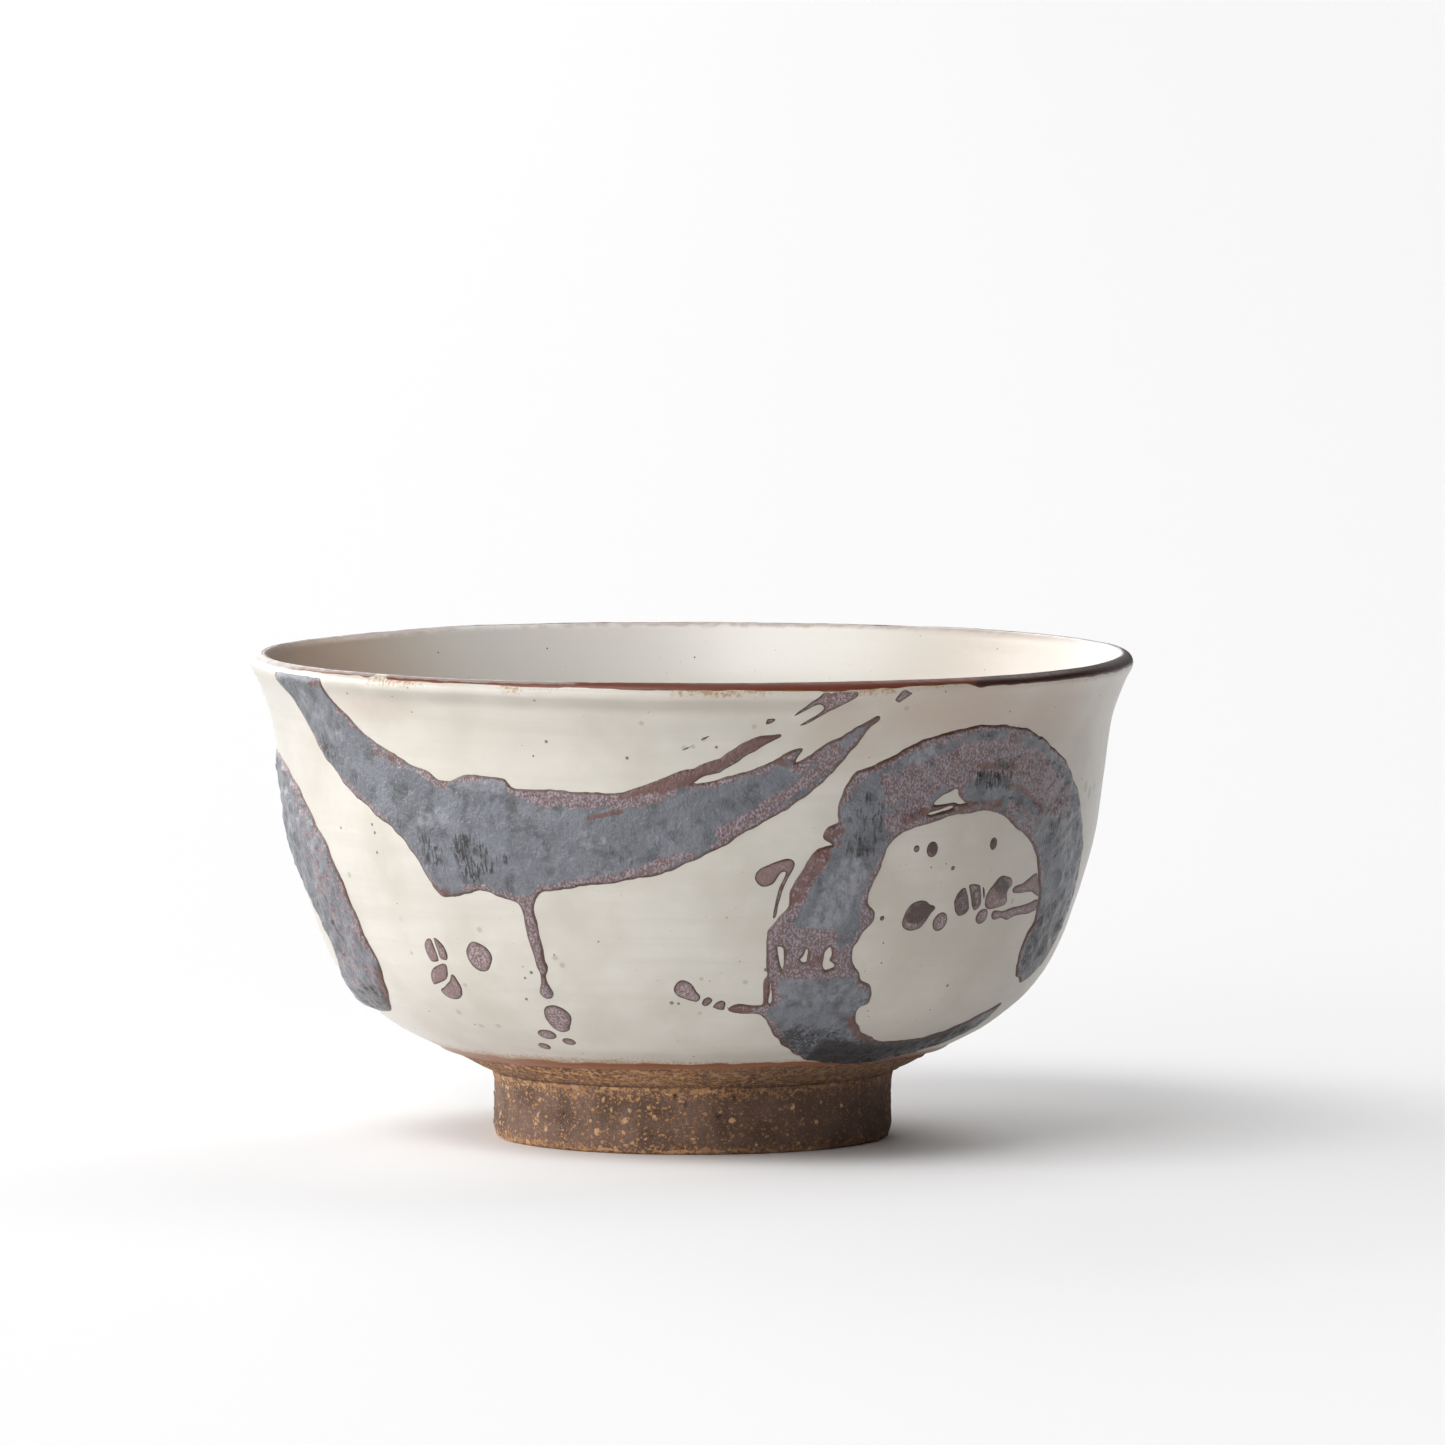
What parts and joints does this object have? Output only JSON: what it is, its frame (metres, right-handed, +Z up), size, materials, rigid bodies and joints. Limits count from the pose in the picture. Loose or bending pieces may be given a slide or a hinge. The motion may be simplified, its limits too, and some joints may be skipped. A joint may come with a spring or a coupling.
{
  "type": "matcha bowl",
  "caption": "Round stoneware tea bowl with a flared iron-edged lip, cream glaze, iron brush strokes and an unglazed foot ring.",
  "frame": {"origin": "on the table under the middle of the foot ring", "axes": "+Z up along the bowl's axis; -Y is the front, with the brushed sweep and the open ring; +X is to the right of someone facing the front"},
  "size_m": [0.12, 0.12, 0.066],
  "materials": {
    "bare_clay": "unglazed grogged stoneware, brown-grey with ochre specks",
    "cream_glaze": "semi-gloss cream-white glaze with fine iron specks",
    "iron_glaze": "slate blue-grey iron brushwork, semi-gloss, with a hammered surface",
    "iron_thin": "thin red-brown iron brushwork",
    "rim_iron": "glossy red-brown iron edge on the lip"
  },
  "bodies": {
    "root": {"clay_body": "bare_clay", "foot_ring": "bare_clay", "outer_glaze": "cream_glaze", "inner_glaze": "cream_glaze", "rim_iron_band": "rim_iron", "sweep_stroke": "iron_glaze", "sweep_dry_streaks": "iron_thin", "sweep_drops": "iron_thin", "left_drops": "iron_thin", "ring_stroke": "iron_glaze", "ring_inner_drops": "iron_thin", "ring_flicks": "iron_thin", "left_ring_stroke": "iron_glaze", "back_sweep_stroke": "iron_glaze", "back_drops": "iron_thin"}
  },
  "joints": []
}
